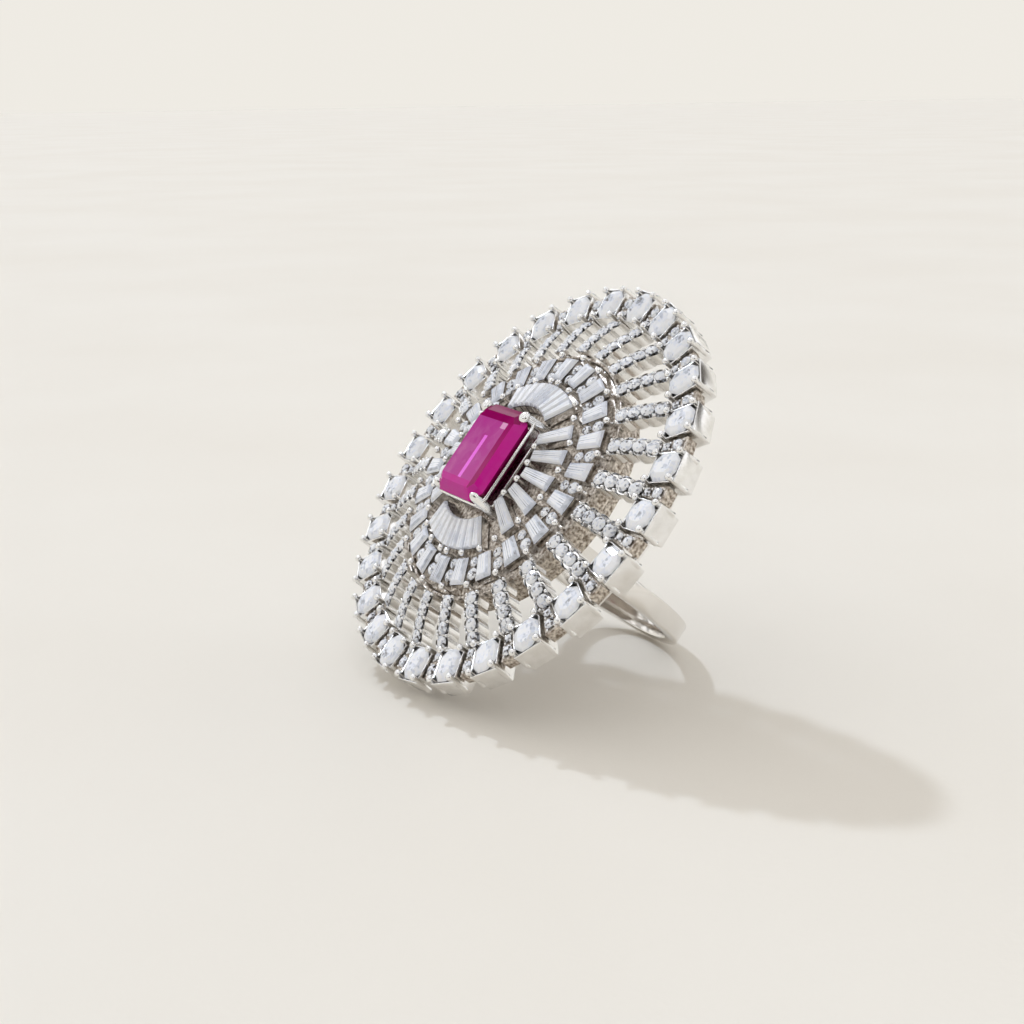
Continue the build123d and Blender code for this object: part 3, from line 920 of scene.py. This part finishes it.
spokeValues = {"inner": 12.5, "outer": 16.85, "top": (1.35, -0.3), "bulge": 0.2, "depth": 1.25, "web": 1.3,
               "stones": 4, "stoneDiameter": 1.14, "stoneRise": 0.08, "scallop": 1.75, "segments": 5,
               "endShares": (0.02, 0.999), "rail": 0.12, "sink": 0.16,
               "beadRadius": 0.17, "beadSide": 0.6, "beadRise": 0.02, "beadShares": (0.03, 0.97)}


def spokeTop(values, share):
    start, end = values["top"]
    return start + (end - start) * share + values["bulge"] * (1 - (2 * share - 1) ** 2)


def spokeWidth(values, share):
    length = (values["outer"] - values["inner"]) / values["stones"]
    offset = (share * values["stones"]) % 1 - 0.5
    chord = (values["scallop"] / 2) ** 2 - (offset * length) ** 2
    return max(values["web"], 2 * sqrt(max(chord, 0)))


def spokeBar(name, values):
    # extruded outward station by station, then hollowed along the top
    stations = values["stones"] * values["segments"]
    step = (values["outer"] - values["inner"]) / stations
    depth = values["depth"]
    firstShare, lastShare = values["endShares"]
    width = spokeWidth(values, firstShare)
    bar = startPiece(name, bpy.ops.mesh.primitive_cube_add, size=1,
                     location=(values["inner"] + step / 2, 0, spokeTop(values, 0) - depth / 2),
                     scale=(step, width, depth))
    applyPlace(bar)
    editPiece(bar)
    reach = values["inner"] + step
    pickFaces(bar, lambda centre, normal: normal.x > 0.9)
    for k in range(1, stations + 1):
        share = k / stations
        rise = spokeTop(values, share) - spokeTop(values, share - 1 / stations)
        if k > 1:
            bpy.ops.mesh.extrude_region_move(TRANSFORM_OT_translate={"value": (step, 0, rise)})
        else:
            bpy.ops.transform.translate(value=(0, 0, rise))
        newWidth = spokeWidth(values, min(share, lastShare))
        bpy.ops.transform.resize(value=(1, newWidth / width, 1), center_override=(reach, 0, 0))
        width = newWidth
    pickFaces(bar, lambda centre, normal: normal.z > 0.8)
    bpy.ops.mesh.inset(thickness=values["rail"], depth=0)
    bpy.ops.transform.translate(value=(0, 0, -values["sink"]))
    toObjectMode()
    smoothShade(bar, 30)
    return bar


def makeSpokes(values):
    length = values["outer"] - values["inner"]
    bar = spokeBar("spoke", values)
    bars = repeatPiece("spoke_bars", bar, [polar(0, gap) for gap in gapAngles])
    layDown(bars, settingMetal, "setting_metal", "spokes")
    stonePlaces, beadPlaces = [], []
    firstBead, lastBead = values["beadShares"]
    near = 0.05  # half the share of the bar over which its slope is taken
    for gap in gapAngles:
        for n in range(values["stones"]):
            share = (n + 0.5) / values["stones"]
            fall = spokeTop(values, share - near) - spokeTop(values, share + near)
            slope = degrees(atan2(fall, 2 * near * length))
            height = spokeTop(values, share) + values["stoneRise"]
            stonePlaces.append(polar(values["inner"] + share * length, gap, height, slope))
        for n in range(values["stones"] + 1):
            share = min(max(n / values["stones"], firstBead), lastBead)
            spot = polar(values["inner"] + share * length, gap, spokeTop(values, share) + values["beadRise"])
            for side in (-1, 1):
                beadPlaces.append(spot @ Matrix.Translation((0, side * values["beadSide"], 0)))
    stones = repeatPiece("spoke_brilliants", cutRound("spokeStone", values["stoneDiameter"]), stonePlaces)
    layDown(stones, sparklingGem, "colourless_gem", "spoke_stones")
    beads = repeatPiece("spoke_beads", bead("spokeBead", values["beadRadius"]), beadPlaces)
    layDown(beads, settingMetal, "setting_metal")


makeSpokes(spokeValues)
print("spokes ready")


# prongs are (foot, tip) on one side of the stone; gap stones are (radius, diameter)
rimValues = {"radius": 18.5, "halfX": 1.5, "halfY": 1.3, "corner": 0.75, "rounding": 0.03,
             "profile": [(1.15, -1.25), (0.5, -0.72), (0, -0.1), (0, 0), (0.17, 0.17), (0.24, 0.2),
                         (0.5, 0.36)],
             "tableLines": ((-0.55, 5), (-0.2, 0), (0.12, -8), (0.5, 4), (-0.3, 80), (0.35, 96)),
             "bottom": -2.3, "top": 0.03, "wallInner": -1.56, "wallOuter": 1.7, "wallHalf": 1.44,
             "lip": 0.13, "well": 0.5, "ledge": 0.3, "footShare": 0.9, "footDraw": 0.12, "soft": 0.1,
             "prongs": (((1.52, 1.32, -1.6), (1.36, 1.24, 0.26)), ((-1.36, 1.32, -1.4), (-1.36, 1.24, 0.26))),
             "prongRadius": 0.25, "prongHead": ((0.06, 1.22), (0.13, 1.3), (0.13, 1.0), (0.07, 0.45)),
             "gapStones": ((17.55, 0.74), (18.75, 1.0)), "gapTop": -0.32, "gapStoneRise": 0.16,
             "gapBead": 0.13, "gapBeadRise": 0.06, "gapBeadsAt": (0.5, 0.4),
             "rail": (17.4, 18.2), "railDepth": 0.35, "railSoft": 0.1}


def rimWalls(name, values):
    inner, outer, bottom = values["wallInner"], values["wallOuter"], values["bottom"]
    height = values["top"] - bottom
    walls = startPiece(name, bpy.ops.mesh.primitive_cube_add, size=1,
                       location=((outer + inner) / 2, 0, bottom + height / 2),
                       scale=(outer - inner, 2 * values["wallHalf"], height))
    applyPlace(walls)
    editPiece(walls)
    pickFaces(walls, lambda centre, normal: normal.z > 0.9)
    bpy.ops.mesh.inset(thickness=values["lip"], depth=0)
    bpy.ops.mesh.extrude_region_move(TRANSFORM_OT_translate={"value": (0, 0, -values["well"])})
    bpy.ops.mesh.inset(thickness=values["ledge"], depth=0)
    pickFaces(walls, lambda centre, normal: normal.z < -0.9)
    bpy.ops.mesh.inset(thickness=values["lip"] + values["ledge"], depth=0)
    # the two faces left in the middle are bridged, which opens the box from well to foot
    pickFaces(walls, lambda centre, normal: abs(normal.z) > 0.9 and centre.xy.length < 0.3
              and abs(centre.z) > 0.4)
    bpy.ops.mesh.bridge_edge_loops()
    # the walls draw in towards the foot, the outer one most
    pickVertices(walls, lambda place: place.z < bottom + 0.1)
    bpy.ops.transform.resize(value=(1, values["footShare"], 1), center_override=(0, 0, 0))
    pickVertices(walls, lambda place: place.z < bottom + 0.1 and place.x > values["halfX"])
    bpy.ops.transform.translate(value=(-values["footDraw"], 0, 0))
    toObjectMode()
    softenEdges(walls, values["soft"], 3)
    smoothShade(walls, 50)
    return walls


def rimProng(name, foot, tip, side):
    # a round wire from foot to tip, (x, y, z) each, that ends in a ball
    (footX, footY, footZ), (tipX, tipY, tipZ) = foot, tip
    prong = roundPost(name, rimValues["prongRadius"], footZ, tipZ, rimValues["prongHead"])
    editPiece(prong)
    pickVertices(prong, lambda place: place.z > (footZ + tipZ) / 2)
    bpy.ops.transform.translate(value=(tipX - footX, side * (tipY - footY), 0))
    toObjectMode()
    prong.location = (footX, side * footY, 0)
    applyPlace(prong)
    smoothShade(prong, 60)
    return prong


def makeRim(values):
    angles = [gap + rimPitch / 2 for gap in gapAngles]
    parts = [rimWalls("walls", values)]
    for side in (-1, 1):
        for foot, tip in values["prongs"]:
            parts.append(rimProng("prong", foot, tip, side))
    setting = joinPieces("setting", parts)
    places = [polar(values["radius"], angle) for angle in angles]
    settings = repeatPiece("rim_setting_boxes", setting, places)
    layDown(settings, settingMetal, "setting_metal", "rim_settings")
    sides = cushionSides(values["halfX"], values["halfY"], values["corner"], values["rounding"])
    pattern = cutStone("cushion", sides, values["profile"])
    splitTop(pattern, values["tableLines"])
    paintFacetLight(pattern, cushionFacetLight)
    for number, place in enumerate(places, 1):
        stone = copyTo(pattern, place, f"rim_cushion_{number:02d}")
        layDown(stone, cushionGem, "colourless_gem", f"rim_stone_{number:02d}")
    bpy.data.objects.remove(pattern)
    rounds, beadPlaces = [], []
    beadX, beadY = values["gapBeadsAt"]
    for radius, diameter in values["gapStones"]:
        height = values["gapTop"] + values["gapStoneRise"]
        places = [polar(radius, gap, height) for gap in gapAngles]
        rounds.append(repeatPiece("rounds", cutRound("gapStone", diameter), places))
        for gap in gapAngles:
            spot = polar(radius, gap, values["gapTop"] + values["gapBeadRise"])
            for x, y in ((-beadX, -beadY), (-beadX, beadY), (beadX, -beadY), (beadX, beadY)):
                beadPlaces.append(spot @ Matrix.Translation((x * diameter, y * diameter, 0)))
    layDown(joinPieces("gap_brilliants", rounds), sparklingGem, "colourless_gem", "gap_stones")
    beads = repeatPiece("gap_beads", bead("gapBead", values["gapBead"]), beadPlaces)
    layDown(beads, settingMetal, "setting_metal")
    bottom = values["bottom"]
    rail = turnedRing("rim_rail_hoop", *values["rail"], bottom - values["railDepth"], bottom,
                      values["railSoft"])
    layDown(rail, settingMetal, "setting_metal", "rim_rail")


cushionPaintedLight = {"under": 0.8, "outline": 0.58, "outlineSpan": (0.17, 0.2), "edge": 0.0, "table": (-0.15, 0.4)}


def cushionFacetLight(centre, normal):
    # painted light: a pale, uneven table inside a thin painted dark outline, and a painted bright edge round
    # that
    low, high = cushionPaintedLight["outlineSpan"]
    if normal.z < 0.1:
        return cushionPaintedLight["under"]
    if low < centre.z < high:
        return cushionPaintedLight["outline"]
    if centre.z < low:
        return cushionPaintedLight["edge"]
    return sparkle(centre, *cushionPaintedLight["table"])


makeRim(rimValues)
print("rim ready")


# each hoop's inner and outer radius, foot and top, and the node it stands for
ringValues = {"collar_hoop": (12.15, 12.45, -1.0, 0.7, "collar_ring"),
              "gallery_hoop": (7.0, 8.2, -2.0, -1.0, "gallery_ring"),
              "gallery_outer_hoop": (11.3, 12.3, -2.0, -1.0, "gallery_outer_ring")}
ringSoft = 0.1
bandValues = {"outer": 9.85, "width": 2.0, "soft": 0.22, "vertices": 192}


def makeRings(values):
    for name, (inner, outer, low, high, node) in values.items():
        layDown(turnedRing(name, inner, outer, low, high, ringSoft), castMetalPaintedShade, "setting_metal", node)


def makeBand(values):
    half = values["width"] / 2
    band = turnedRing("band_hoop", boreRadius, values["outer"], -half, half, values["soft"],
                      values["vertices"])
    band.matrix_world = (Matrix.Translation((bandPlace["along"], 0, bandPlace["height"]))
                         @ Matrix.Rotation(radians(90), 4, "Y"))
    layDown(band, bandMetal, "band_metal", "shank")


makeRings(ringValues)
makeBand(bandValues)
# the rest of the model's nodes keep their shape: shoulders get the band metal, the others the cast metal with
# its painted shade
for name, node in frame["nodes"].items():
    if not node.hide_render:
        node.data.materials.clear()
        node.data.materials.append(bandMetal if name.startswith("shoulder") else castMetalPaintedShade)
        print("keeps its own shape:", name)

toObjectMode()
